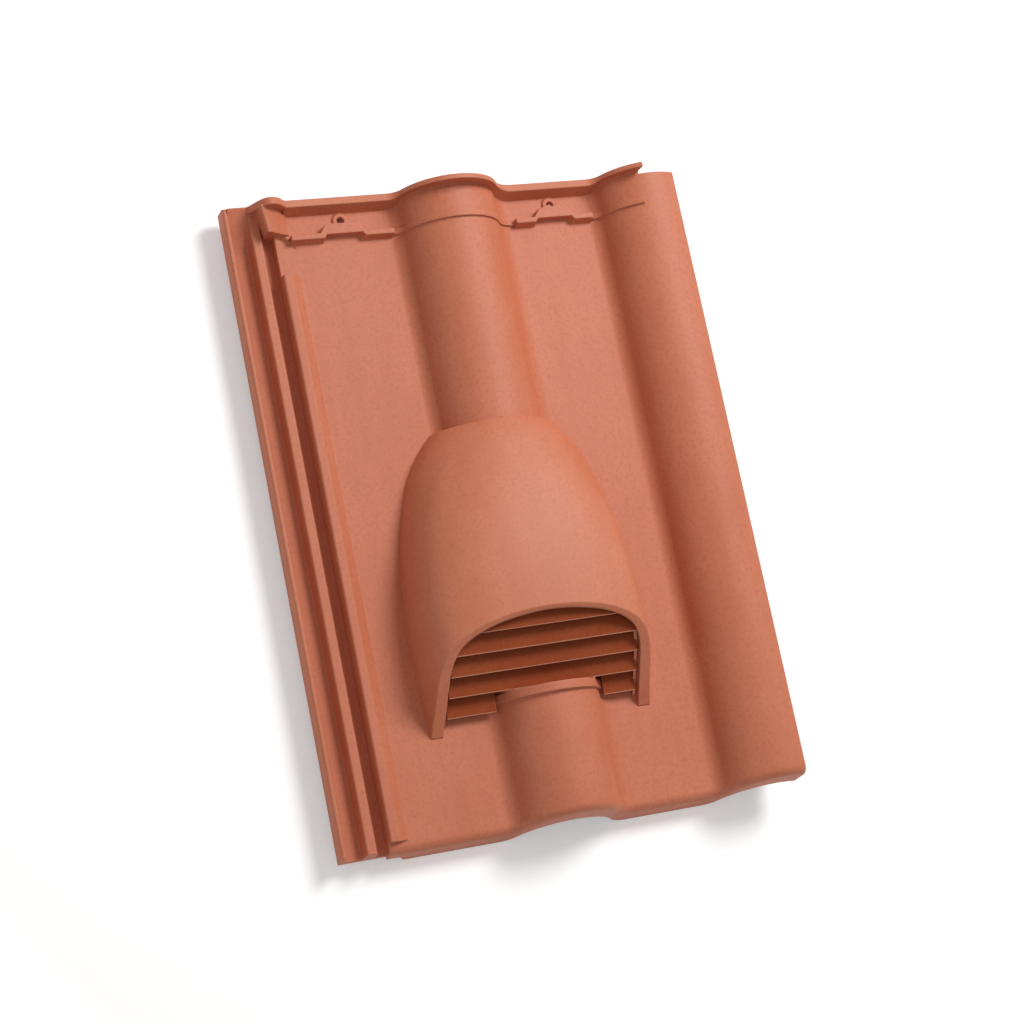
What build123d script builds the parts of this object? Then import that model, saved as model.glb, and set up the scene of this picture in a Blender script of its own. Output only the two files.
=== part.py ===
from build123d import *

import math
import os

# Ventilation roof tile: a double-roll interlocking tile with a hooded, louvred air outlet.
# Working frame: x = 0 on the crown line of the centre roll, y = 0 at the tail (lower) edge,
# z = 0 on the top of the pans. Every piece is moved to the part's frame on export.

# Overall sizes, millimetres
tile_length = 420.0
cover_width = 282.0                    # spacing of neighbouring tiles on the roof
left_edge = -151.0                     # outer face of the interlock lip
right_edge = 157.5                     # outer face of the cover edge
rest_depth = 20.0                      # from the top of the pans to what the tile lies on
wall = 3.0

# Rolls: a crown arc that runs into the pans by two hollow foot arcs
roll_height = 28.0
roll_radius = 36.0
foot_radius_left = 10.0
foot_radius_right = 16.0
roll_pitch = 142.0

# Tail nose and turned-down edges
nose_radius = 6.0
tail_reach = 4.0                       # the leaning tail face reaches this far below y = 0
tail_lean = 0.14
side_wall_depth = 11.0                 # underside of the interlock and of the wall beside it
skirt_start = 14.0                     # the deep tail skirt begins this far right of that wall
cover_leg_bottom = -2.0
cover_leg_setback = 14.0               # the cover leg starts this far from the tail
head_lap = 75.0                        # covered by the next tile up the roof

# Left interlock: thin lip, water channel, rib, second channel
lip_width = 3.6
interlock_rib_width = 7.2
interlock_floor = -8.0
interlock_top = 1.0
interlock_slant = 2.0                  # lean of its tail end
interlock_reach = 1.0
channel_width = 12.0
drain_width = 8.2
skin_left = left_edge + lip_width + channel_width + interlock_rib_width + drain_width
rib_draft = 0.6

# Flange that stands between the second channel and the left pan
flange_height = 4.5
flange_crest = 6.0
flange_slope = 7.0
flange_start = 6.0
flange_end = 372.0

# Head: weather bar, castellated second bar, nail holes, corner return
head_bar_height = 9.0
head_bar_width = 4.7                   # its top; the foot is wider by the batter
head_bar_batter = 3.6
head_bar_on_roll = 3.2                 # its least width, which it keeps over the rolls
head_hump = 8.8                        # rise of the bar where it crosses the interlock
head_bar_stop = 26.0                   # the bars end this far short of the cover edge
second_bar_height = 6.0
second_bar_on_roll = 1.8
second_bar_width = 3.4                 # its top
second_bar_batter = 1.9
second_bar_from_head = 27.9
jog_length = 5.8
jog_width = 24.0
nail_spacing = 148.0
nail_from_head = 13.5
nail_hole_radius = 2.5
nail_boss_radius = 5.5
nail_boss_height = 1.4
plateau_half_width = 14.0              # flat land of the second bar in front of each nail hole
plateau_left_reach = 7.0
plateau_right_reach = 9.0
return_length = 17.0
return_height = 11.0
spur_reach = 9.5                       # thin web that runs out from the foot of the return
spur_height = 4.0
channel_ramp = 25.0                    # length over which the first channel's floor rises
channel_ramp_top = 2.2

# Batten nibs, cover fin and stiffening ribs of the underside
nib_width = 28.0
nib_thickness = 9.0
nib_taper = 3.5
stiffener = 2.5
stiffener_depth = 7.0
stiffener_end = tile_length - head_lap + 5.0

# Hood
hood_rear = 257.0
hood_tip = 64.0                        # y of the two flank tips
hood_half_width = 77.8
hood_height = 54.5
hood_wall = 2.2
hood_offset = -5.4                     # its centre line swings this far off the roll
hood_lip = 2.0                         # step at the rear edge, above the roll
mouth_half_width = 67.1
hood_overrun = 1.08                    # its lofts run past the tips by this share of its length
mouth_angle = 40.0                     # of the mouth plane above the pans, degrees

# Air throat cut through the roll, with a raised rim, a sill in front and a collar below
throat_half_width = 31.0
throat_corner = 6.0
throat_wall = 2.5
throat_from_rear = 29.0                # from its rear end to the hood's rear edge
rim_height = 3.0
collar_bottom = -12.0
sill_front = 79.0
sill_width = 5.5

# Louvre insert
blade_count = 5
blade_first = 7.4                      # front edge of the lowest blade above the pan
blade_pitch = 9.4
blade_depth = 16.0
blade_thickness = 1.8
blade_tilt = 8.0
louvre_frame = 2.4
louvre_frame_from_front = 6.0          # the blades stand this far proud of their frame
louvre_setback = 1.2
fit_clearance = 0.2

section_steps = (0.0, 0.4, 0.78)       # shares of the way to the shoulder of a hood section
far = 500.0                            # reach of cutting solids past the part

roll_centre_z = roll_height - roll_radius
tail_room = wall * math.hypot(1, tail_lean) + tail_lean * 2 * rest_depth - tail_reach
mouth_lean = 1 / math.tan(math.radians(mouth_angle))
louvre_depth = blade_depth + 1
throat_front = sill_front + sill_width
throat_length = hood_rear - throat_from_rear - throat_front


def foot_distance(foot_radius):
    """Distance from a roll's crown line to where its foot arc meets the pan."""
    rise = foot_radius - roll_centre_z
    return math.sqrt((roll_radius + foot_radius) ** 2 - rise ** 2)


foot_left = foot_distance(foot_radius_left)
foot_right = foot_distance(foot_radius_right)


def arc(x, z, radius, start, end):
    """Arc in the cross-section plane about (x, z), angles in degrees."""
    points = []
    for angle in (start, (start + end) / 2, end):
        a = math.radians(angle)
        points.append((x + radius * math.cos(a), 0, z + radius * math.sin(a)))
    return ThreePointArc(*points)


def roll_edges(x, depth=0.0, stop=None):
    """Edges of one roll, foot to foot, at a depth under the top surface.

    With stop, the crown arc ends at that x and there is no right foot.
    """
    left_turn = math.degrees(math.atan2(foot_radius_left - roll_centre_z, foot_left))
    right_turn = math.degrees(math.atan2(foot_radius_right - roll_centre_z, foot_right))
    crown = roll_radius - depth
    edges = [arc(x - foot_left, foot_radius_left, foot_radius_left + depth, -90, -left_turn)]
    if stop is None:
        edges.append(arc(x, roll_centre_z, crown, 180 - left_turn, right_turn))
        edges.append(arc(x + foot_right, foot_radius_right, foot_radius_right + depth,
                         180 + right_turn, 270))
    else:
        last = math.degrees(math.acos((stop - x) / crown))
        edges.append(arc(x, roll_centre_z, crown, 180 - left_turn, last))
    return edges


def skin_edges(depth=0.0, left=skin_left, right=right_edge):
    """The tile's cross-section line from the flange wall to the cover edge."""
    centre = roll_edges(0, depth)
    cover = roll_edges(roll_pitch, depth, stop=right)
    pan_left = Line((left, 0, -depth), centre[0] @ 0)
    pan_right = Line(centre[-1] @ 1, cover[0] @ 0)
    return [pan_left, *centre, pan_right, *cover]


def closed(edges, *corners):
    """Face bounded by a chain of edges and the corner points that close it, given as (x, z)."""
    points = [edges[-1] @ 1] + [(x, 0, z) for x, z in corners] + [edges[0] @ 0]
    return Face(Wire([*edges, *[Line(a, b) for a, b in zip(points, points[1:])]]))


def between(edges, rise):
    """Face between a chain of edges and its copy lifted by rise."""
    lifted = [edge.moved(Location((0, 0, rise))) for edge in edges]
    sides = [Line(edges[0] @ 0, lifted[0] @ 0), Line(edges[-1] @ 1, lifted[-1] @ 1)]
    return Face(Wire([*edges, *lifted, *sides]))


def along(face, start, end):
    """Prism of a cross-section face between two distances from the tail."""
    return extrude(face.moved(Location((0, start, 0))), end - start, dir=(0, 1, 0))


def section(points, start, end):
    """Prism of a polygon of (x, z) points between two distances from the tail."""
    return along(Face(Wire.make_polygon([(x, 0, z) for x, z in points])), start, end)


def block(x0, x1, y0, y1, z0, z1):
    """Box by its limits."""
    return Pos((x0 + x1) / 2, (y0 + y1) / 2, (z0 + z1) / 2) * Box(x1 - x0, y1 - y0, z1 - z0)


def before_plane(y, lean):
    """Everything on the tail side of a plane that passes (y, z = 0) and leans back by lean."""
    low = -2 * rest_depth
    high = 2 * hood_height
    profile = [(y + low * lean, low), (y + high * lean, high), (-far, high), (-far, low)]
    face = Face(Wire.make_polygon([(-far, y, z) for y, z in profile]))
    return extrude(face, 2 * far, dir=(1, 0, 0))


def leaning_tail(solid, setback, radius, left, right):
    """Cut a prism's tail along the leaning plane and round the top edges of the cut."""
    solid -= before_plane(rest_depth * tail_lean - tail_reach + setback, tail_lean)
    front = solid.faces().sort_by(Axis.Y)[0]
    edges = [
        edge for edge in front.edges()
        if edge.center().Z > -rest_depth + 1
        and left + 0.01 < edge.center().X < right - 0.01
    ]
    return fillet(edges, radius)


def envelope():
    """Everything under the tile's top surface, down to the rest plane, with the round nose."""
    face = closed(skin_edges(), (right_edge, -rest_depth), (skin_left, -rest_depth))
    return leaning_tail(along(face, -2 * tail_reach, tile_length), 0, nose_radius, skin_left,
                        right_edge)


def cavity():
    """The hollow of the underside, one wall inside the envelope."""
    left = skin_left + wall
    right = right_edge - wall
    face = closed(skin_edges(wall, left, right), (right, -rest_depth - 5), (left, -rest_depth - 5))
    return leaning_tail(along(face, -2 * tail_reach, tile_length + 5), wall, nose_radius - wall,
                        left, right)


def tail_arches():
    """Cuts that let the tail's lower edge follow the rolls."""
    low = -rest_depth - 5
    cuts = []
    for x, stop in ((0, None), (roll_pitch, right_edge)):
        edges = [edge.moved(Location((0, 0, -rest_depth))) for edge in roll_edges(x, 0, stop)]
        end = stop if stop else x + foot_right
        face = closed(edges, (end, low), (x - foot_left, low))
        cuts.append(along(face, -tail_reach - 1, tail_room))
    return cuts


def cover_leg_cuts():
    """Trim the cover edge's leg: short at the tail and under the head lap."""
    x0 = right_edge - wall - 0.01
    x1 = right_edge + 5
    short = roll_height - rest_depth - 3
    lap = tile_length - head_lap
    return [
        block(x0, x1, -tail_reach - 1, cover_leg_setback, -far, short),
        block(x0, x1, 0, tile_length + 5, -far, cover_leg_bottom),
        block(x0, x1, lap, tile_length + 5, -far, short),
    ]


def skirt_corner():
    """Trim that lets the deep skirt begin right of the interlock, with a sloping end."""
    points = [
        (skin_left - 1, -side_wall_depth), (skin_left + skirt_start - 5, -side_wall_depth),
        (skin_left + skirt_start, -rest_depth - 1), (skin_left - 1, -rest_depth - 1),
    ]
    return section(points, -tail_reach - 1, tail_room)


def interlock():
    """Left underlap: lip, channel, rib and second channel on one floor."""
    under = -side_wall_depth
    rib_left = left_edge + lip_width + channel_width
    rib_right = rib_left + interlock_rib_width
    top = interlock_top
    floor = interlock_floor
    points = [
        (left_edge, under), (left_edge, top - 1), (left_edge + 1, top),
        (left_edge + lip_width - 1, top), (left_edge + lip_width - 0.4, top - 0.6),
        (left_edge + lip_width, floor), (rib_left - rib_draft, floor),
        (rib_left + rib_draft, top - 0.8), (rib_left + rib_draft + 0.8, top),
        (rib_right - 0.8, top), (rib_right, top - 0.8), (rib_right + rib_draft, floor),
        (skin_left + 1, floor), (skin_left + 1, under),
    ]
    start = -interlock_reach
    lean = interlock_slant / (top - under)
    return section(points, start, tile_length) - before_plane(start - under * lean, lean)


def flange():
    """Rib along the left pan with a steep channel side and a long slope to the pan."""
    crest = skin_left + flange_crest
    points = [
        (skin_left, -1), (skin_left + 0.3, flange_height - 0.8), (skin_left + 1.1, flange_height),
        (crest, flange_height), (crest + flange_slope, 0), (crest + flange_slope, -1),
    ]
    return section(points, flange_start, flange_end)


def head_bar():
    """Weather bar on the head edge, humped over the interlock and stepped along the rolls.

    A battered front widens its foot in the pans; over the rolls it thins to its least width.
    """
    start = tile_length - head_bar_width
    foot = start - head_bar_batter
    left = skin_left - drain_width - interlock_rib_width
    right = skin_left + drain_width + 2
    top = head_bar_height
    hump = top + head_hump
    run = between(skin_edges(0, right - 2, right_edge - head_bar_stop), top)
    battered = along(run, foot, tile_length) - before_plane(foot, head_bar_batter / top)
    thin = along(run, tile_length - head_bar_on_roll, tile_length)
    crest = Spline(
        (left, 0, interlock_top + 0.5), (skin_left - drain_width, 0, hump - 3.4),
        (skin_left - drain_width / 2, 0, hump), (skin_left + drain_width / 2, 0, hump - 3),
        (right, 0, top), tangents=[(1, 0, 1.2), (1, 0, -0.3)])
    base = interlock_floor - 1
    corners = [(right, -1), (skin_left + 1, -1), (skin_left + 1, base), (left, base)]
    return [battered, thin, along(closed([crest], *corners), start, tile_length)]


def corner_return():
    """Ridge from the hump back to the second bar, falling as it goes and sloping to the pan."""
    end = tile_length - head_bar_width + 1
    base = interlock_floor - 1
    faces = []
    for y, shift, height in ((end - return_length, 1.5, return_height),
                             (end, -2.0, head_bar_height + head_hump - 2)):
        crest = skin_left - drain_width + shift
        points = [
            (crest, base), (crest, height - 1), (crest + 1, height), (crest + 3, height - 0.6),
            (skin_left + 2, height * 0.55), (skin_left + 11, 0), (skin_left + 11, -1),
            (skin_left + 1, -1), (skin_left + 1, base),
        ]
        faces.append(Face(Wire.make_polygon([(x, y, z) for x, z in points])))
    return loft(faces, ruled=True)


def plateau_outlines(y):
    """Plan outlines of the lands behind the second bar: cut corners on the left, round right."""
    half = plateau_half_width
    x = -nail_spacing / 2
    rear = y + plateau_left_reach
    corners = [(x - half - 3, y, -1), (x - half + 2, rear, -1), (x + half - 3, rear, -1),
               (x + half - 2, y, -1)]
    left = [Line(a, b) for a, b in zip(corners, corners[1:] + corners[:1])]
    x = nail_spacing / 2
    crown = (x, y + plateau_right_reach, -1)
    right = [ThreePointArc((x - half - 1, y, -1), crown, (x + half + 1, y, -1)),
             Line((x + half + 1, y, -1), (x - half - 1, y, -1))]
    return left, right


def spur():
    """Thin web that runs from the front of the corner return out on to the pan."""
    y = tile_length - head_bar_width + 1 - return_length
    faces = []
    for dx, dy, height in ((3.5, 1.0, spur_height), (13.7, -spur_reach, 0.4)):
        foot = skin_left + dx
        points = [(foot - 0.8, y + dy - 0.8, -1), (foot + 0.8, y + dy + 0.8, -1),
                  (foot, y + dy, height)]
        faces.append(Face(Wire.make_polygon(points)))
    return loft(faces, ruled=True)


def channel_ramp_solid():
    """Rise of the first channel's floor towards the head, which keeps driven rain back."""
    x = left_edge + lip_width - 0.5
    profile = [(tile_length - channel_ramp, interlock_floor), (tile_length, channel_ramp_top),
               (tile_length, interlock_floor - 1), (tile_length - channel_ramp, interlock_floor - 1)]
    face = Face(Wire.make_polygon([(x, y, z) for y, z in profile]))
    return extrude(face, channel_width + 1, dir=(1, 0, 0))


def second_bar():
    """Low bar behind the head bar that steps aside round each nail hole."""
    start = tile_length - second_bar_from_head
    end = start + second_bar_batter + second_bar_width
    top = second_bar_height
    left = skin_left + 10.0
    right = right_edge - head_bar_stop
    step = jog_width / 2
    shift = jog_length
    pieces = []
    pans = ((left, -foot_left, -nail_spacing / 2),
            (foot_right, roll_pitch - foot_left, nail_spacing / 2))
    for x0, x1, nail_x in pans:
        a = nail_x - step
        b = nail_x + step
        outlines = []
        for z, front in ((-1, start - second_bar_batter / top), (top, start + second_bar_batter)):
            outline = [
                (x0, front), (a - 2, front), (a + 2, front + shift), (b - 2, front + shift),
                (b + 2, front), (x1 + 2, front), (x1 + 2, end), (b + 2, end),
                (b - 2, end + shift), (a + 2, end + shift), (a - 2, end), (x0, end),
            ]
            outlines.append(Face(Wire.make_polygon([(x, y, z) for x, y in outline])))
        pieces.append(loft(outlines, ruled=True))
    for outline in plateau_outlines(end - 1):
        pieces.append(extrude(Face(Wire(outline)), top + 1, dir=(0, 0, 1)))
    for edges in (roll_edges(0), roll_edges(roll_pitch, 0, stop=right)):
        pieces.append(along(between(edges, second_bar_on_roll), end - second_bar_width, end))
    return pieces


def nail_features():
    """Raised bosses round the two nail holes, and the holes."""
    y = tile_length - nail_from_head
    bosses = []
    holes = []
    for x in (-nail_spacing / 2, nail_spacing / 2):
        height = nail_boss_height + 1
        ring = Pos(x, y, nail_boss_height - height / 2) * Cylinder(nail_boss_radius, height)
        top_edge = ring.edges().sort_by(Axis.Z)[-1]
        bosses.append(chamfer(top_edge, nail_boss_height * 0.6))
        holes.append(Pos(x, y, 0) * Cylinder(nail_hole_radius, 4 * wall))
    return bosses, holes


def nibs():
    """Two hooks under the head edge that hang on the batten."""
    front = tile_length - nib_thickness
    result = []
    for x in (-nail_spacing / 2, nail_spacing / 2):
        profile = [
            (front, -1), (front, -rest_depth), (tile_length - nib_taper, -rest_depth),
            (tile_length, -rest_depth / 2), (tile_length, -1),
        ]
        face = Face(Wire.make_polygon([(x - nib_width / 2, y, z) for y, z in profile]))
        result.append(extrude(face, nib_width, dir=(1, 0, 0)))
    return result


def stiffeners():
    """Ribs under the pans and the fin that drops into the neighbour's first channel."""
    bottom = -wall - stiffener_depth
    half = stiffener / 2
    pan_left = (skin_left + wall - 1, -foot_left + 1)
    pan_right = (foot_right - 1, roll_pitch - foot_left + 1)
    ribs = []
    for x0, x1 in (pan_left, pan_right):
        span = x1 - x0
        for share in (0.3, 0.7):
            x = x0 + span * share
            ribs.append(block(x - half, x + half, nose_radius, stiffener_end, bottom, -1))
        for y in (hood_tip - 14, hood_rear - 110, hood_rear - 20, stiffener_end):
            ribs.append(block(x0, x1, y - stiffener, y, bottom, -1))
    fin_x = cover_width + left_edge + lip_width + channel_width / 2
    fin_top = roll_centre_z + math.sqrt(roll_radius ** 2 - (fin_x - roll_pitch) ** 2) - 1
    ribs.append(block(fin_x - half, fin_x + half, cover_leg_setback, tile_length - head_lap,
                      cover_leg_bottom, fin_top))
    return ribs


def throat_prism(grow, z0, z1):
    """Upright prism of the throat's rounded outline, grown outwards."""
    outline = RectangleRounded(2 * (throat_half_width + grow), throat_length + 2 * grow,
                               throat_corner + grow)
    centre = Pos(0, throat_front + throat_length / 2, z0)
    return extrude(centre * outline, z1 - z0)


def throat_wall_ring():
    """Collar below and rim above the roll, round the throat."""
    ring = throat_prism(throat_wall, collar_bottom, far) - throat_prism(0, collar_bottom - 1, far + 1)
    over = along(closed(skin_edges(), (right_edge, far + 9), (skin_left, far + 9)), 0, tile_length)
    return ring - over.moved(Location((0, 0, rim_height)))


def sill():
    """Low bar across the roll just inside the hood's flank tips."""
    return along(between(roll_edges(0), rim_height), sill_front, throat_front)


def tile_body():
    """The moulded tile."""
    body = envelope() - cavity()
    body -= tail_arches()
    body -= cover_leg_cuts()
    lower_side = block(skin_left - 1, skin_left + wall + 0.01, tail_room, tile_length + 5, -far,
                       -side_wall_depth)
    body -= lower_side
    body -= skirt_corner()
    bosses, holes = nail_features()
    body += [interlock(), channel_ramp_solid(), flange(), *head_bar(), corner_return(), spur()]
    body += [*second_bar(), *bosses]
    body += [*nibs(), *stiffeners(), sill(), throat_wall_ring()]
    body -= throat_prism(0, collar_bottom - 1, roll_height + rim_height + 5)
    body -= holes
    plain_corner = block(right_edge - head_bar_stop + 0.01, right_edge + 5, tile_length - 5,
                         tile_length + 5, -far, far)
    return body - plain_corner


def section_points(half_width, height, power, batter, rise):
    """Arch from flank to flank as (x, z): leaning flanks, rounded shoulders, a bowed roof.

    The power sharpens the shoulders; batter and rise are shares of width and height.
    """
    shoulder = 0.5 ** (1 / power)
    unit = []
    for step in section_steps:
        v = shoulder * step
        unit.append(((1 - v ** power) ** (1 / power), v))
    unit.append((shoulder, shoulder))
    for step in reversed(section_steps):
        u = shoulder * step
        unit.append((u, (1 - u ** power) ** (1 / power)))
    right = [(half_width * u * (1 - batter * v), height * v * (1 - rise * u * u)) for u, v in unit]
    return right + [(-x, z) for x, z in reversed(right[:-1])]


def section_spacing():
    """One set of spline parameters for all sections, so that the lofts share their knots."""
    points = section_points(hood_half_width, hood_height, 4, 0.05, 0.15)
    lengths = [0.0]
    for a, b in zip(points, points[1:]):
        lengths.append(lengths[-1] + math.dist(a, b))
    return [length / lengths[-1] for length in lengths]


def hood_section(y, offset, half_width, height, power, batter, rise):
    """Cross-section of the hood: the arch over straight sides that reach into the tile."""
    shape = section_points(half_width, height, power, batter, rise)
    points = [Vector(offset + x, y, z) for x, z in shape]
    lean = batter * half_width
    tangents = [Vector(-lean, 0, height), Vector(-lean, 0, -height)]
    crown = Edge.make_spline(points, tangents=tangents, parameters=section_spacing())
    low = Vector(0, 0, -nose_radius)
    right = Line(points[0] + low, points[0])
    left = Line(points[-1], points[-1] + low)
    return Face(Wire([right, crown, left, Line(left @ 1, right @ 0)]))


def hood_loft(first, stations, half_width, height, grow=0.0):
    """Loft through evenly spaced stations, the first at a share of the hood's length.

    Each gives shares of width and height, the shoulder power, batter, rise, and how much of
    the swing off the roll applies.
    """
    length = hood_rear - hood_tip
    step = (hood_overrun - first) / (len(stations) - 1)
    sections = []
    for index, (width_share, height_share, power, batter, rise, swing) in enumerate(stations):
        sections.append(hood_section(
            hood_rear - (first + index * step) * length, hood_offset * swing,
            half_width * width_share + grow, height * height_share + grow, power, batter, rise))
    return loft(sections)


def hood_outer():
    """Outside of the hood, from its low rear edge to past the mouth."""
    rear = (roll_height + hood_lip) / hood_height
    stations = [
        (0.544, rear, 1.85, 0.16, 0.0, 0.0),
        (0.761, rear + 0.188, 2.3, 0.14, 0.04, 0.35),
        (0.865, 0.855, 2.8, 0.12, 0.09, 0.6),
        (0.929, 0.932, 3.6, 0.11, 0.14, 0.8),
        (0.973, 0.976, 4.7, 0.105, 0.18, 0.93),
        (0.995, 0.996, 6.0, 0.1, 0.21, 1.0),
        (1.0, 1.0, 7.0, 0.1, 0.22, 1.0),
        (0.987, 1.0, 7.5, 0.1, 0.22, 1.0),
        (0.969, 1.0, 7.5, 0.1, 0.22, 1.0),
        (0.95, 1.0, 7.5, 0.1, 0.22, 1.0),
    ]
    return hood_loft(0.0, stations, hood_half_width, hood_height)


def hood_inner(grow=0.0):
    """Inside of the hood; it runs into the roll before the rear edge."""
    inner_height = hood_height - hood_wall
    stations = [
        (0.6, (roll_height + 2) / inner_height, 1.85, 0.12, 0.0, 0.1),
        (0.86, 0.775, 2.4, 0.1, 0.06, 0.45),
        (0.942, 0.89, 3.1, 0.08, 0.12, 0.72),
        (0.982, 0.96, 4.4, 0.05, 0.16, 0.88),
        (0.996, 0.99, 6.5, 0.05, 0.2, 0.97),
        (1.0, 1.0, 8.0, 0.05, 0.22, 1.0),
        (1.0, 1.0, 8.5, 0.05, 0.22, 1.0),
        (1.0, 1.0, 8.5, 0.05, 0.22, 1.0),
        (1.0, 1.0, 8.5, 0.05, 0.22, 1.0),
    ]
    return hood_loft(0.04, stations, mouth_half_width, inner_height, grow)


def before_mouth(setback):
    """Everything on the tail side of the mouth plane moved back by setback along the tile."""
    return before_plane(hood_tip + setback, mouth_lean)


def vent_hood(tile_envelope):
    """Cowl shell that stands on the roll and pans, open towards the tail."""
    return hood_outer() - hood_inner() - before_mouth(0) - tile_envelope


def blade(index):
    """One louvre blade: a thin plate that drops towards its front edge."""
    z = blade_first + index * blade_pitch
    y = hood_tip + louvre_setback + z * mouth_lean
    tilt = math.radians(blade_tilt)
    back = (y + blade_depth * math.cos(tilt), z + blade_depth * math.sin(tilt))
    profile = [(y, z - blade_thickness), (y, z - 0.3), (y + 0.3, z), back,
               (back[0], back[1] - blade_thickness)]
    x = hood_offset - hood_half_width
    face = Face(Wire.make_polygon([(x, y, z) for y, z in profile]))
    return extrude(face, 2 * hood_half_width, dir=(1, 0, 0))


def louvre_insert(tile_envelope):
    """Grille pushed into the mouth: blades across it, joined by an arched frame behind them."""
    over_rim = between(roll_edges(0), rim_height + 2 * fit_clearance)
    keep_off = tile_envelope.moved(Location((0, 0, fit_clearance)))
    keep_off += along(over_rim, sill_front - fit_clearance, throat_front + throat_length)
    keep_off -= throat_prism(-fit_clearance, blade_first + blade_pitch / 2, far)
    room = hood_inner(-fit_clearance) - before_mouth(louvre_setback)
    room &= before_mouth(louvre_setback + louvre_depth)
    room -= keep_off
    frame = room - hood_inner(-fit_clearance - louvre_frame)
    frame -= before_mouth(louvre_setback + louvre_frame_from_front)
    blades = [room & blade(index) for index in range(blade_count)]
    return frame + blades


def main():
    """Build the pieces and write them in the part's frame."""
    middle = (tile_length - tail_reach) / 2
    place = Location((-(left_edge + right_edge) / 2, -middle, rest_depth))
    tile_envelope = envelope()
    nodes = {
        "tile_body": tile_body(),
        "vent_hood": vent_hood(tile_envelope),
        "louvre_insert": louvre_insert(tile_envelope),
    }
    os.makedirs("parts", exist_ok=True)
    for name, shape in nodes.items():
        export_step(shape.moved(place), f"parts/{name}.step")
        print(name, len(shape.solids()), "solid(s)", round(shape.volume / 1000, 1), "cm3")


main()
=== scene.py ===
import math

import bmesh
import bpy
from mathutils import Matrix, Vector
from mathutils.bvhtree import BVHTree


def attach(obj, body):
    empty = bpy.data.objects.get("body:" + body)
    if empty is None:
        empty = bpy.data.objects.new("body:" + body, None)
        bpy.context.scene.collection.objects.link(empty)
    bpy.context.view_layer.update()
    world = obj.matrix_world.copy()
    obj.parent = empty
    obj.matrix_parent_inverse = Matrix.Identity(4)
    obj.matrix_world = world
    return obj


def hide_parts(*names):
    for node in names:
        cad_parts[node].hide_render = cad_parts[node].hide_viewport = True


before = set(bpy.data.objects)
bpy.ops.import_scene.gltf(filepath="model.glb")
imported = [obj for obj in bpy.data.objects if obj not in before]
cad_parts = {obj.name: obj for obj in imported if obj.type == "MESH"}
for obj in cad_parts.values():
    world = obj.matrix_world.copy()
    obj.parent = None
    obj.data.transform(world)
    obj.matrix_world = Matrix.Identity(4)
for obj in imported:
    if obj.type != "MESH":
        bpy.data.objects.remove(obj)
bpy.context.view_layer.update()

mm = 0.001

# Roof tile with a hooded air outlet, moulded in terracotta plastic. The crown of its centre roll
# runs along y at x = centreRoll["x"], and the top of its pans lies at panTop.
panTop = 20 * mm
centreRoll = {"x": -3.25 * mm, "radius": 36 * mm, "height": 28 * mm}
tailEdge = -208 * mm


# Colour and node helpers

# places of a Mix node's colour sockets, which share their names with its number sockets
colourA, colourB, colourOut = 6, 7, 2


def toLinear(hexColour):
    # sRGB hex to a linear RGBA tuple
    values = []
    for start in (1, 3, 5):
        c = int(hexColour[start:start + 2], 16) / 255
        values.append(c / 12.92 if c <= 0.04045 else ((c + 0.055) / 1.055) ** 2.4)
    return (*values, 1.0)


def addNode(tree, kind, settings=None, inputs=None):
    # inputs go by name or number; a socket, a node or a list of nodes is linked, all else is set
    node = tree.nodes.new(kind)
    for name, value in (settings or {}).items():
        setattr(node, name, value)
    for name, value in (inputs or {}).items():
        sources = value if isinstance(value, list) else [value]
        for source in sources:
            if isinstance(source, bpy.types.Node):
                tree.links.new(source.outputs[0], node.inputs[name])
            elif isinstance(source, bpy.types.NodeSocket):
                tree.links.new(source, node.inputs[name])
            else:
                node.inputs[name].default_value = source
    return node


# Finishes

tilePlastic = {
    "base": "#C46E4C",
    "pale": "#C97554",
    "deep": "#B96342",
    "mottle": 38.0,              # mm, soft clouds of the pigment
    "cloudRange": (0.35, 0.65),
    "streak": 9.0,               # mm, width of the flow marks, which run along the rolls
    "streakStretch": 0.12,       # pattern's scale along the rolls, low so that the marks are long
    "streakRange": (0.4, 0.75),
    "streakShare": 0.35,
    "grain": 1.1,                # mm, drawn coarser than the real 0.3 mm so that it shows
    "grainHeight": 0.11,         # mm
    "speckSize": 2.2,            # times the grain
    "speckRange": (0.46, 0.7),
    "speckShare": 0.55,
    "roughness": 0.58,
    "roughnessSpread": 0.05,
    "ior": 1.5,
    "specular": 0.5,
    "edge": 1.3,                 # mm, radius that the mould leaves on every edge
    "edgeHighlightTone": "#DC9A7C",       # painted highlight on the rounded edges, paler than the plastic
    "edgeHighlightRange": (0.995, 0.85),  # cosine between the face and its rounded edge
    "edgeHighlightShare": 0.35,
    "frontHighlightRange": (-0.25, -0.6),
    "frontHighlightShare": 0.0,           # share of painted highlight on faces that look towards the tail
}
hoodPlastic = dict(tilePlastic, base="#C7724F", pale="#CC7958", deep="#BD6846", mottle=30.0,
                   streak=14.0, roughness=0.55)
# the louvre's base, pale and deep tones are darker than the tile's as painted shade for its place
# under the hood; its pale edges and fronts are a painted highlight
louvrePlasticPaintedShade = dict(tilePlastic, base="#94411C", pale="#9B4822", deep="#883916", mottle=20.0,
                     grainHeight=0.05, edge=0.45, edgeHighlightTone="#E8A888", edgeHighlightShare=0.6,
                     frontHighlightShare=0.85, roughness=0.6, specular=0.2)


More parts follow.
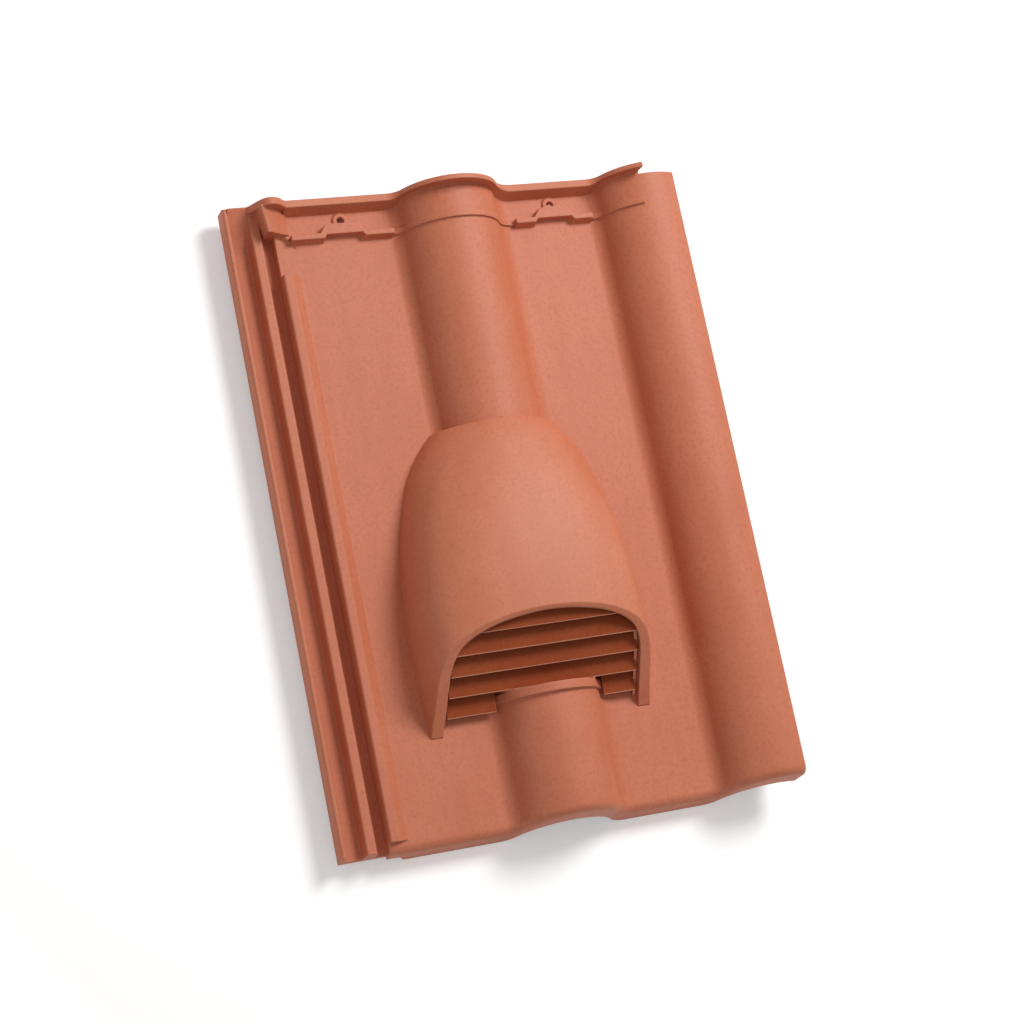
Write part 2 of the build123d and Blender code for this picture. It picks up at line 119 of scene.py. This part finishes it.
def mouldedPlastic(name, finish):
    # injection-moulded, through-coloured plastic with a spark-eroded mould grain: matte, no coat,
    # faint clouds where the pigment is uneven, every edge slightly round, and a painted highlight on
    # the edges
    material = bpy.data.materials.new(name)
    material.use_nodes = True
    tree = material.node_tree
    tree.nodes.clear()
    place = addNode(tree, "ShaderNodeTexCoord").outputs["Object"]

    # pigment: clouds, then streaks and specks of the deep tone
    clouds = addNode(tree, "ShaderNodeTexNoise", inputs={
        "Vector": place, "Scale": 1 / (finish["mottle"] * mm), "Detail": 4.0, "Roughness": 0.55})
    stretched = addNode(tree, "ShaderNodeMapping", inputs={
        "Vector": place, "Scale": (1.0, finish["streakStretch"], 1.0)})
    streaks = addNode(tree, "ShaderNodeTexNoise", inputs={
        "Vector": stretched, "Scale": 1 / (finish["streak"] * mm), "Detail": 3.0,
        "Roughness": 0.5})
    specks = addNode(tree, "ShaderNodeTexNoise", inputs={
        "Vector": place, "Scale": 1 / (finish["speckSize"] * finish["grain"] * mm),
        "Detail": 2.0})
    cloudStart, cloudEnd = finish["cloudRange"]
    cloudShare = addNode(tree, "ShaderNodeMapRange", inputs={
        "Value": clouds, "From Min": cloudStart, "From Max": cloudEnd})
    streakStart, streakEnd = finish["streakRange"]
    streakShare = addNode(tree, "ShaderNodeMapRange", inputs={
        "Value": streaks, "From Min": streakStart, "From Max": streakEnd,
        "To Max": finish["streakShare"]})
    speckStart, speckEnd = finish["speckRange"]
    speckShare = addNode(tree, "ShaderNodeMapRange", inputs={
        "Value": specks, "From Min": speckStart, "From Max": speckEnd,
        "To Max": finish["speckShare"]})
    cloudy = addNode(tree, "ShaderNodeMix", {"data_type": "RGBA"}, {
        "Factor": cloudShare, colourA: toLinear(finish["base"]),
        colourB: toLinear(finish["pale"])})
    streaked = addNode(tree, "ShaderNodeMix", {"data_type": "RGBA"}, {
        "Factor": streakShare, colourA: cloudy.outputs[colourOut],
        colourB: toLinear(finish["deep"])})
    specked = addNode(tree, "ShaderNodeMix", {"data_type": "RGBA"}, {
        "Factor": speckShare, colourA: streaked.outputs[colourOut],
        colourB: toLinear(finish["deep"])})

    # painted highlight on rounded edges, and on faces towards the tail where the finish says so
    roundEdge = addNode(tree, "ShaderNodeBevel", {"samples": 8}, {"Radius": finish["edge"] * mm})
    faceNormal = addNode(tree, "ShaderNodeNewGeometry").outputs["Normal"]
    turned = addNode(tree, "ShaderNodeVectorMath", {"operation": "DOT_PRODUCT"}, {
        0: roundEdge, 1: faceNormal})
    edgeStart, edgeEnd = finish["edgeHighlightRange"]
    edgeHighlightShare = addNode(tree, "ShaderNodeMapRange", inputs={
        "Value": turned.outputs["Value"], "From Min": edgeStart, "From Max": edgeEnd,
        "To Max": finish["edgeHighlightShare"]})
    direction = addNode(tree, "ShaderNodeSeparateXYZ", inputs={"Vector": faceNormal})
    frontStart, frontEnd = finish["frontHighlightRange"]
    frontHighlightShare = addNode(tree, "ShaderNodeMapRange", inputs={
        "Value": direction.outputs["Y"], "From Min": frontStart, "From Max": frontEnd,
        "To Max": finish["frontHighlightShare"]})
    paintedHighlight = addNode(tree, "ShaderNodeMath", {"operation": "MAXIMUM"}, {
        0: edgeHighlightShare, 1: frontHighlightShare})
    highlighted = addNode(tree, "ShaderNodeMix", {"data_type": "RGBA"}, {
        "Factor": paintedHighlight, colourA: specked.outputs[colourOut],
        colourB: toLinear(finish["edgeHighlightTone"])})

    grain = addNode(tree, "ShaderNodeTexNoise", inputs={
        "Vector": place, "Scale": 1 / (finish["grain"] * mm), "Detail": 3.0, "Roughness": 0.6})
    relief = addNode(tree, "ShaderNodeBump", inputs={
        "Height": grain, "Distance": finish["grainHeight"] * mm, "Strength": 1.0,
        "Normal": roundEdge})
    roughness = addNode(tree, "ShaderNodeMapRange", inputs={
        "Value": clouds, "To Min": finish["roughness"] - finish["roughnessSpread"],
        "To Max": finish["roughness"] + finish["roughnessSpread"]})
    plastic = addNode(tree, "ShaderNodeBsdfPrincipled", inputs={
        "Base Color": highlighted.outputs[colourOut], "Roughness": roughness, "IOR": finish["ior"],
        "Specular IOR Level": finish["specular"], "Normal": relief})
    addNode(tree, "ShaderNodeOutputMaterial", inputs={"Surface": plastic})
    return material


# Pieces

def newPiece(name, mesh, material, replaced):
    piece = bpy.data.objects.new(name, mesh)
    bpy.context.scene.collection.objects.link(piece)
    mesh.materials.clear()
    mesh.materials.append(material)
    for polygon in mesh.polygons:
        polygon.material_index = 0
    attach(piece, "root")
    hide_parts(replaced)


def smoothUpTo(mesh, creaseAngle):
    # edges sharper than the angle, in degrees, stay sharp
    for polygon in mesh.polygons:
        polygon.use_smooth = True
    mesh.set_sharp_from_angle(angle=math.radians(creaseAngle))


def soften(mesh, low, high):
    # no edge wholly inside the box (mm) stays sharp
    inside = [all(a * mm <= c <= b * mm for a, b, c in zip(low, high, vertex.co))
              for vertex in mesh.vertices]
    sharp = mesh.attributes["sharp_edge"].data
    for edge in mesh.edges:
        if inside[edge.vertices[0]] and inside[edge.vertices[1]]:
            sharp[edge.index].value = False


weld = {"distance": 0.004 * mm, "shortest": 0.001 * mm}


def weldedCopy(node, name, creaseAngle, reshape=None):
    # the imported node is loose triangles; welded, its curved faces shade as one surface
    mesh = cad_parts[node].data.copy()
    mesh.name = name
    shape = bmesh.new()
    shape.from_mesh(mesh)
    bmesh.ops.remove_doubles(shape, verts=shape.verts, dist=weld["distance"])
    bmesh.ops.dissolve_degenerate(shape, edges=shape.edges, dist=weld["shortest"])
    if reshape:
        reshape(shape)
    shape.to_mesh(mesh)
    shape.free()
    if "custom_normal" in mesh.attributes:
        mesh.attributes.remove(mesh.attributes["custom_normal"])
    smoothUpTo(mesh, creaseAngle)
    return mesh


# Tile

tile = {"crease": 28}            # degrees


def tileMesh():
    return weldedCopy("tile_body", "tile", tile["crease"])


# Hood: its flanks are drawn onto one curve between two heights, and shade without a crease

hood = {
    "crease": 35,                # degrees
    "low": 21.5,                 # mm, heights between which the flanks are eased
    "high": 47.0,
    "easeFrom": -95.0,           # mm along the tile, where the easing sets in
    "easeFull": -60.0,
    "rear": 48.8,                # mm, last outline that is measured
    "beside": 20.0,              # mm, flank vertices are at least this far from the middle
    "reach": 3.5,                # mm from the outline, for vertices that face outwards
    "innerReach": 2.0,           # mm, for the others
    "facing": 0.3,               # a normal above this, sideways and up, faces outwards
    "probeFrom": 300.0,          # mm, where the outline is measured from
    "softBoxes": (((-95, -95, 22), (-30, 47, 50)), ((25, -95, 22), (90, 47, 50))),
}


def easeFlank(shape, side):
    # side is -1 for the left flank, 1 for the right
    shape.normal_update()
    tree = BVHTree.FromBMesh(shape)
    low, high = hood["low"] * mm, hood["high"] * mm
    span = high - low

    def outside(y, z):
        start = Vector((hood["probeFrom"] * mm * side, y, z))
        return tree.ray_cast(start, Vector((-side, 0, 0)))[0].x

    def eased(y, z):
        # cubic that leaves and meets the outline without a bend
        t = (z - low) / span
        startX, endX = outside(y, low), outside(y, high)
        startSlope = (outside(y, low + mm) - startX) / mm * span
        endSlope = (endX - outside(y, high - mm)) / mm * span
        return ((2 * t ** 3 - 3 * t ** 2 + 1) * startX + (t ** 3 - 2 * t ** 2 + t) * startSlope
                + (3 * t ** 2 - 2 * t ** 3) * endX + (t ** 3 - t ** 2) * endSlope)

    moved = {}
    for vertex in shape.verts:
        x, y, z = vertex.co
        if x * side < hood["beside"] * mm or y < hood["easeFrom"] * mm or not low < z < high:
            continue
        y = min(y, hood["rear"] * mm)
        facesOut = vertex.normal.z + side * vertex.normal.x > hood["facing"]
        reach = hood["reach"] if facesOut else hood["innerReach"]
        if abs(outside(y, z) - x) > reach * mm:
            continue
        weight = min((y / mm - hood["easeFrom"]) / (hood["easeFull"] - hood["easeFrom"]), 1)
        moved[vertex] = x + (eased(y, z) - x) * weight
    for vertex, x in moved.items():
        vertex.co.x = x

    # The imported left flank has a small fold. On the curve its middle lies reversed under the
    # rest and is taken out, which leaves the mesh open there.
    shape.normal_update()
    reversedFaces = [face for face in shape.faces if all(v in moved for v in face.verts)
                     and face.normal.x * side + face.normal.z < hood["facing"]]
    bmesh.ops.delete(shape, geom=reversedFaces, context="FACES_ONLY")
    print("flank", side, "eased", len(moved), "vertices, took out", len(reversedFaces), "faces")


def easeFlanks(shape):
    for side in (-1, 1):
        easeFlank(shape, side)


def hoodMesh():
    mesh = weldedCopy("vent_hood", "hood", hood["crease"], easeFlanks)
    for box in hood["softBoxes"]:
        soften(mesh, *box)
    return mesh


# Louvre: blades by Geometry Nodes, and the arched frame behind them. Their sizes are in mm from
# the roll's crown line, the tail edge and the pans.

mouth = {
    "front": 65.2,               # mm from the tail edge, where the mouth plane meets the pans
    "angle": 40.0,               # degrees above the pans
    "offset": -5.4,              # its middle lies this far left of the roll
    "halfWidth": 66.9,
    "roof": 52.1,
    "roofDrop": 0.22,            # share of its height that the roof loses at the sides
    "batter": 0.05,
    "shoulders": ((98.7, 8.5), (123.8, 8.0), (148.9, 6.5)),   # squareness along the tile
}
blades = {
    "count": 5,
    "first": 7.4,                # mm, front edge of the lowest blade above the pan
    "pitch": 9.4,
    "depth": 16.0,
    "thickness": 1.8,
    "cornerShare": 0.42,         # corner radius as a share of the thickness
    "cornerPoints": 4,
    "tilt": 8.0,                 # degrees, the blades drop towards their fronts
    "rollRoom": 3.4,             # mm round the roll, for the rim that stands on it
    "splitBelow": 12.0,          # mm, higher blades pass over the throat, lower ones stop at the roll
    "roofShare": 0.978,          # share of the roof's height that counts for the blade ends
    "widest": 0.97,              # share of the half width that a blade end reaches at most
    "merge": 1e-6,               # m
    "crease": 50,                # degrees
}
louvreFrame = {
    "wall": 2.4,
    "from": 6.0,                 # mm behind the mouth plane
    "to": 17.0,
    "gap": 0.25,                 # mm between the frame and the room's wall
    "lowest": 0.3,               # mm above the pans
    "steps": 44,
    "rounds": 6,                 # the outline depends on its own height, so it is worked out again
    "crease": 35,                # degrees
}
mouthLean = 1 / math.tan(math.radians(mouth["angle"]))


def placeFromRoll():
    # from the roll's crown line, the tail edge and the pans to the part's frame
    return Matrix.Translation((centreRoll["x"], tailEdge, panTop))


def bladeTree(inputNames):
    tree = bpy.data.node_groups.new("louvreBlades", "GeometryNodeTree")
    tree.is_modifier = True
    face = tree.interface
    face.new_socket("Geometry", in_out="INPUT", socket_type="NodeSocketGeometry")
    kinds = {"Count": "NodeSocketInt", "Material": "NodeSocketMaterial"}
    for name in inputNames:
        kind = kinds.get(name, "NodeSocketFloat")
        face.new_socket(name, in_out="INPUT", socket_type=kind)
    face.new_socket("Geometry", in_out="OUTPUT", socket_type="NodeSocketGeometry")
    given = addNode(tree, "NodeGroupInput").outputs

    # one blade, 1 m long along x, its top front edge on the origin
    outline = addNode(tree, "GeometryNodeCurvePrimitiveQuadrilateral", inputs={
        "Width": given["Depth"], "Height": given["Thickness"]})
    cornerRadius = addNode(tree, "ShaderNodeMath", {"operation": "MULTIPLY"}, {
        0: given["Thickness"], 1: blades["cornerShare"]})
    softened = addNode(tree, "GeometryNodeFilletCurve", {"mode": "POLY"}, {
        "Curve": outline, "Count": blades["cornerPoints"], "Radius": cornerRadius})
    cap = addNode(tree, "GeometryNodeFillCurve", {"mode": "NGONS"}, {"Curve": softened})
    oneMetre = addNode(tree, "ShaderNodeCombineXYZ", inputs={"Z": 1.0})
    prism = addNode(tree, "GeometryNodeExtrudeMesh", inputs={
        "Mesh": cap, "Offset": oneMetre, "Offset Scale": 1.0, "Individual": False})
    underCap = addNode(tree, "GeometryNodeFlipFaces", inputs={"Mesh": cap})
    closed = addNode(tree, "GeometryNodeJoinGeometry", inputs={"Geometry": [prism, underCap]})
    welded = addNode(tree, "GeometryNodeMergeByDistance", inputs={
        "Geometry": closed, "Distance": blades["merge"]})
    halfDepth = addNode(tree, "ShaderNodeMath", {"operation": "MULTIPLY"}, {
        0: given["Depth"], 1: 0.5})
    halfUnder = addNode(tree, "ShaderNodeMath", {"operation": "MULTIPLY"}, {
        0: given["Thickness"], 1: -0.5})
    corner = addNode(tree, "ShaderNodeCombineXYZ", inputs={"X": halfDepth, "Y": halfUnder})
    toCorner = addNode(tree, "GeometryNodeTransform", inputs={
        "Geometry": welded, "Translation": corner})
    lying = addNode(tree, "GeometryNodeTransform", inputs={
        "Geometry": toCorner, "Rotation": (math.pi / 2, 0.0, math.pi / 2)})
    tilt = addNode(tree, "ShaderNodeCombineXYZ", inputs={"X": given["Tilt"]})
    tilted = addNode(tree, "GeometryNodeTransform", inputs={"Geometry": lying, "Rotation": tilt})

    # height of each blade's front edge, and where the mouth plane is there
    row = addNode(tree, "GeometryNodeMeshLine", inputs={"Count": given["Count"]})
    index = addNode(tree, "GeometryNodeInputIndex")
    rise = addNode(tree, "ShaderNodeMath", {"operation": "MULTIPLY"}, {
        0: index, 1: given["Pitch"]})
    height = addNode(tree, "ShaderNodeMath", {"operation": "ADD"}, {
        0: given["First Height"], 1: rise})
    setBack = addNode(tree, "ShaderNodeMath", {"operation": "MULTIPLY"}, {
        0: height, 1: given["Mouth Lean"]})
    frontY = addNode(tree, "ShaderNodeMath", {"operation": "ADD"}, {
        0: given["Front"], 1: setBack})

    # half width of the roll at the blade's underside
    underside = addNode(tree, "ShaderNodeMath", {"operation": "SUBTRACT"}, {
        0: height, 1: given["Thickness"]})
    overMiddle = addNode(tree, "ShaderNodeMath", {"operation": "SUBTRACT"}, {
        0: underside, 1: given["Roll Middle"]})
    radiusSquared = addNode(tree, "ShaderNodeMath", {"operation": "MULTIPLY"}, {
        0: given["Roll Radius"], 1: given["Roll Radius"]})
    overSquared = addNode(tree, "ShaderNodeMath", {"operation": "MULTIPLY"}, {
        0: overMiddle, 1: overMiddle})
    rest = addNode(tree, "ShaderNodeMath", {"operation": "SUBTRACT"}, {
        0: radiusSquared, 1: overSquared})
    positive = addNode(tree, "ShaderNodeMath", {"operation": "MAXIMUM"}, {0: rest, 1: 0.0})
    rollHalf = addNode(tree, "ShaderNodeMath", {"operation": "SQRT"}, {0: positive})

    # a high blade runs from side to side, a low one from each side to the roll
    whole = addNode(tree, "ShaderNodeMath", {"operation": "GREATER_THAN"}, {
        0: height, 1: given["Split Below"]})
    split = addNode(tree, "ShaderNodeMath", {"operation": "SUBTRACT"}, {0: 1.0, 1: whole})
    leftEnd = addNode(tree, "ShaderNodeMath", {"operation": "SUBTRACT"}, {
        0: given["Offset"], 1: given["Half Width"]})
    rightEnd = addNode(tree, "ShaderNodeMath", {"operation": "ADD"}, {
        0: given["Offset"], 1: given["Half Width"]})
    rollLeft = addNode(tree, "ShaderNodeMath", {"operation": "MULTIPLY"}, {0: rollHalf, 1: -1.0})
    innerWhole = addNode(tree, "ShaderNodeMath", {"operation": "MULTIPLY"}, {
        0: whole, 1: rightEnd})
    innerSplit = addNode(tree, "ShaderNodeMath", {"operation": "MULTIPLY"}, {
        0: split, 1: rollLeft})
    inner = addNode(tree, "ShaderNodeMath", {"operation": "ADD"}, {
        0: innerWhole, 1: innerSplit})
    sides = []
    for start, end, chosen in ((leftEnd, inner, True), (rollHalf, rightEnd, split)):
        spot = addNode(tree, "ShaderNodeCombineXYZ", inputs={
            "X": start, "Y": frontY, "Z": height})
        put = addNode(tree, "GeometryNodeSetPosition", inputs={
            "Geometry": row, "Position": spot})
        length = addNode(tree, "ShaderNodeMath", {"operation": "SUBTRACT"}, {0: end, 1: start})
        scale = addNode(tree, "ShaderNodeCombineXYZ", inputs={"X": length, "Y": 1.0, "Z": 1.0})
        sides.append(addNode(tree, "GeometryNodeInstanceOnPoints", inputs={
            "Points": put, "Selection": chosen, "Instance": tilted, "Scale": scale}))
    both = addNode(tree, "GeometryNodeJoinGeometry", inputs={"Geometry": sides})
    real = addNode(tree, "GeometryNodeRealizeInstances", inputs={"Geometry": both})

    # every blade end follows the mouth's outline at its own height
    position = addNode(tree, "GeometryNodeInputPosition")
    parts = addNode(tree, "ShaderNodeSeparateXYZ", inputs={"Vector": position}).outputs
    roof = addNode(tree, "ShaderNodeMath", {"operation": "MULTIPLY"}, {
        0: given["Roof"], 1: blades["roofShare"]})
    fill = addNode(tree, "ShaderNodeMath", {"operation": "DIVIDE"}, {0: parts["Z"], 1: roof})
    left = addNode(tree, "ShaderNodeMath", {"operation": "SUBTRACT"}, {0: 1.0, 1: fill})
    drop = addNode(tree, "ShaderNodeMath", {"operation": "DIVIDE"}, {
        0: left, 1: given["Roof Drop"]})
    dropped = addNode(tree, "ShaderNodeMath", {"operation": "MAXIMUM"}, {0: drop, 1: 0.0})
    root = addNode(tree, "ShaderNodeMath", {"operation": "SQRT"}, {0: dropped})
    share = addNode(tree, "ShaderNodeMath", {"operation": "MINIMUM"}, {
        0: root, 1: blades["widest"]})
    battered = addNode(tree, "ShaderNodeMath", {"operation": "MULTIPLY"}, {
        0: fill, 1: given["Batter"]})
    lean = addNode(tree, "ShaderNodeMath", {"operation": "SUBTRACT"}, {0: 1.0, 1: battered})
    upright = addNode(tree, "ShaderNodeMath", {"operation": "MULTIPLY"}, {
        0: given["Half Width"], 1: share})
    half = addNode(tree, "ShaderNodeMath", {"operation": "MULTIPLY"}, {0: upright, 1: lean})
    furthestLeft = addNode(tree, "ShaderNodeMath", {"operation": "SUBTRACT"}, {
        0: given["Offset"], 1: half})
    furthestRight = addNode(tree, "ShaderNodeMath", {"operation": "ADD"}, {
        0: given["Offset"], 1: half})
    kept = addNode(tree, "ShaderNodeClamp", inputs={
        "Value": parts["X"], "Min": furthestLeft, "Max": furthestRight})
    fittedSpot = addNode(tree, "ShaderNodeCombineXYZ", inputs={
        "X": kept, "Y": parts["Y"], "Z": parts["Z"]})
    fitted = addNode(tree, "GeometryNodeSetPosition", inputs={
        "Geometry": real, "Position": fittedSpot})
    painted = addNode(tree, "GeometryNodeSetMaterial", inputs={
        "Geometry": fitted, "Material": given["Material"]})
    addNode(tree, "NodeGroupOutput", inputs={"Geometry": painted})
    return tree


def bladeMesh(material):
    values = {
        "Count": blades["count"],
        "First Height": blades["first"] * mm,
        "Pitch": blades["pitch"] * mm,
        "Depth": blades["depth"] * mm,
        "Thickness": blades["thickness"] * mm,
        "Tilt": math.radians(blades["tilt"]),
        "Front": mouth["front"] * mm,
        "Mouth Lean": mouthLean,
        "Half Width": mouth["halfWidth"] * mm,
        "Roof": mouth["roof"] * mm,
        "Roof Drop": mouth["roofDrop"],
        "Batter": mouth["batter"],
        "Offset": mouth["offset"] * mm,
        "Roll Radius": centreRoll["radius"] + blades["rollRoom"] * mm,
        "Roll Middle": centreRoll["height"] - centreRoll["radius"],
        "Split Below": blades["splitBelow"] * mm,
        "Material": material,
    }
    tree = bladeTree(values)
    carrier = bpy.data.objects.new("bladeCarrier", bpy.data.meshes.new("bladeCarrier"))
    bpy.context.scene.collection.objects.link(carrier)
    modifier = carrier.modifiers.new("blades", "NODES")
    modifier.node_group = tree
    for item in tree.interface.items_tree:
        if item.item_type == "SOCKET" and item.in_out == "INPUT" and item.name in values:
            modifier[item.identifier] = values[item.name]
    bpy.context.view_layer.update()
    seen = carrier.evaluated_get(bpy.context.evaluated_depsgraph_get())
    mesh = bpy.data.meshes.new_from_object(seen)
    mesh.name = "louvreBlades"
    carrier.modifiers.clear()
    bpy.data.objects.remove(carrier)
    mesh.transform(placeFromRoll())
    smoothUpTo(mesh, blades["crease"])
    return mesh


def shoulderPower(y):
    (y0, p0), (y1, p1), (y2, p2) = mouth["shoulders"]
    if y < y1:
        return p0 + (p1 - p0) * max(y - y0, 0) / (y1 - y0)
    return p1 + (p2 - p1) * min((y - y1) / (y2 - y1), 1)


def mouthArch(back, inset):
    # points of the room's inside on a plane parallel to the mouth, from pan to pan
    points = []
    for step in range(louvreFrame["steps"] + 1):
        turn = math.pi * step / louvreFrame["steps"]
        c, s = math.cos(turn), math.sin(turn)
        z = mouth["roof"] / 2
        for attempt in range(louvreFrame["rounds"]):
            power = shoulderPower(mouth["front"] + back + z * mouthLean)
            u = math.copysign(abs(c) ** (2 / power), c)
            v = abs(s) ** (2 / power)
            z = (mouth["roof"] - inset) * v * (1 - mouth["roofDrop"] * u * u)
        x = (mouth["halfWidth"] - inset) * u * (1 - mouth["batter"] * v)
        z = max(z, louvreFrame["lowest"])
        points.append((x + mouth["offset"], mouth["front"] + back + z * mouthLean, z))
    return points


def frameMesh():
    # four lines run over the arch: outside front and back, inside back and front
    start, end = louvreFrame["from"], louvreFrame["to"]
    gap, wall = louvreFrame["gap"], louvreFrame["wall"]
    lines = [mouthArch(back, inset)
             for back, inset in ((start, gap), (end, gap), (end, wall), (start, wall))]
    shape = bmesh.new()
    rings = [[shape.verts.new([v * mm for v in point]) for point in ring] for ring in zip(*lines)]
    for a, b in zip(rings, rings[1:]):
        for k in range(4):
            n = (k + 1) % 4
            shape.faces.new((a[k], a[n], b[n], b[k]))
    shape.faces.new(rings[0][::-1])
    shape.faces.new(rings[-1])
    bmesh.ops.remove_doubles(shape, verts=shape.verts, dist=weld["shortest"])
    bmesh.ops.recalc_face_normals(shape, faces=shape.faces)
    mesh = bpy.data.meshes.new("louvreFrame")
    shape.to_mesh(mesh)
    shape.free()
    mesh.transform(placeFromRoll())
    smoothUpTo(mesh, louvreFrame["crease"])
    return mesh


# Stage: white floor, soft key from the head's right, a weak fill, and the camera

paperFloor = {
    "colour": "#F4F3F2",
    "size": 8.0,                 # m
    "gap": 0.5,                  # mm below the part, so that no two faces lie in one plane
    "lift": 0.3,                 # added where the floor is seen, keeps the background white
    "fadeStart": 0.4,            # m from the middle, further out the floor goes to plain white
    "fadeEnd": 0.9,
}
lamps = {
    "key": {"from": (0.92, 0.8, 1.52), "size": 0.8, "power": 28.5},
    "fill": {"from": (-1.3, -0.1, 1.1), "size": 1.0, "power": 1.6},
}
room = {"light": 0.34, "seen": 1.0}     # on the object, and where the background is seen
cameraPlace = {
    "at": (-556.2, -296.5, 1398.0),      # mm
    "turn": (15.304, -19.3225, -12.0854),
    "lens": 82.617,
    "sensor": 36,                # mm
    "nearest": 0.01,             # m
}


def seenRays(tree):
    # 1 where the background is seen, directly or in a glossy or clear surface
    rays = addNode(tree, "ShaderNodeLightPath").outputs
    seen = rays["Is Camera Ray"]
    for other in ("Is Glossy Ray", "Is Transmission Ray"):
        seen = addNode(tree, "ShaderNodeMath", {"operation": "MAXIMUM"}, {
            0: seen, 1: rays[other]})
    return seen


def whiteFloor():
    # plain matte paper; it keeps the soft shadow and goes to white further out
    bpy.ops.mesh.primitive_plane_add(
        size=paperFloor["size"], location=(0, 0, -paperFloor["gap"] * mm))
    floor = bpy.context.object
    floor.name = "floor"
    material = bpy.data.materials.new("paperWhiteSweep")
    material.use_nodes = True
    tree = material.node_tree
    tree.nodes.clear()
    paper = addNode(tree, "ShaderNodeBsdfDiffuse", inputs={
        "Color": toLinear(paperFloor["colour"])})
    place = addNode(tree, "ShaderNodeTexCoord").outputs["Object"]
    away = addNode(tree, "ShaderNodeVectorMath", {"operation": "LENGTH"}, {0: place})
    strength = addNode(tree, "ShaderNodeMapRange", inputs={
        "Value": away.outputs["Value"], "From Min": paperFloor["fadeStart"],
        "From Max": paperFloor["fadeEnd"], "To Min": paperFloor["lift"], "To Max": 1.0})
    lift = addNode(tree, "ShaderNodeEmission", inputs={"Strength": strength})
    lifted = addNode(tree, "ShaderNodeAddShader", inputs={0: paper, 1: lift})
    surface = addNode(tree, "ShaderNodeMixShader", inputs={
        0: seenRays(tree), 1: paper, 2: lifted})
    addNode(tree, "ShaderNodeOutputMaterial", inputs={"Surface": surface})
    floor.data.materials.append(material)


def softLamps():
    for name, values in lamps.items():
        lamp = bpy.data.lights.new(name, "AREA")
        lamp.shape = "DISK"
        lamp.size = values["size"]
        lamp.energy = values["power"]
        holder = bpy.data.objects.new(name, lamp)
        holder.location = values["from"]
        aim = -Vector(values["from"])
        holder.rotation_euler = aim.to_track_quat("-Z", "Y").to_euler()
        bpy.context.scene.collection.objects.link(holder)


def softRoom():
    world = bpy.data.worlds.new("softRoom")
    bpy.context.scene.world = world
    world.use_nodes = True
    tree = world.node_tree
    tree.nodes.clear()
    strength = addNode(tree, "ShaderNodeMapRange", inputs={
        "Value": seenRays(tree), "To Min": room["light"], "To Max": room["seen"]})
    glow = addNode(tree, "ShaderNodeBackground", inputs={
        "Color": (1.0, 1.0, 1.0, 1.0), "Strength": strength})
    addNode(tree, "ShaderNodeOutputWorld", inputs={"Surface": glow})


def photoCamera():
    camera = bpy.data.cameras.new("camera")
    camera.lens = cameraPlace["lens"]
    camera.sensor_width = cameraPlace["sensor"]
    camera.clip_start = cameraPlace["nearest"]
    holder = bpy.data.objects.new("camera", camera)
    holder.location = [v * mm for v in cameraPlace["at"]]
    holder.rotation_euler = [math.radians(v) for v in cameraPlace["turn"]]
    bpy.context.scene.collection.objects.link(holder)
    bpy.context.scene.camera = holder


tileMaterial = mouldedPlastic("mouldedTilePlastic", tilePlastic)
hoodMaterial = mouldedPlastic("mouldedHoodPlastic", hoodPlastic)
louvreMaterialPaintedShade = mouldedPlastic("mouldedLouvrePlasticPaintedShade", louvrePlasticPaintedShade)
print("finishes made")

newPiece("tile", tileMesh(), tileMaterial, "tile_body")
newPiece("hood", hoodMesh(), hoodMaterial, "vent_hood")
print("tile and hood made")

newPiece("louvreBlades", bladeMesh(louvreMaterialPaintedShade), louvreMaterialPaintedShade, "louvre_insert")
newPiece("louvreFrame", frameMesh(), louvreMaterialPaintedShade, "louvre_insert")
print("louvre made")

whiteFloor()
softLamps()
softRoom()
photoCamera()
bpy.context.scene.view_settings.view_transform = "Standard"
print("stage made")
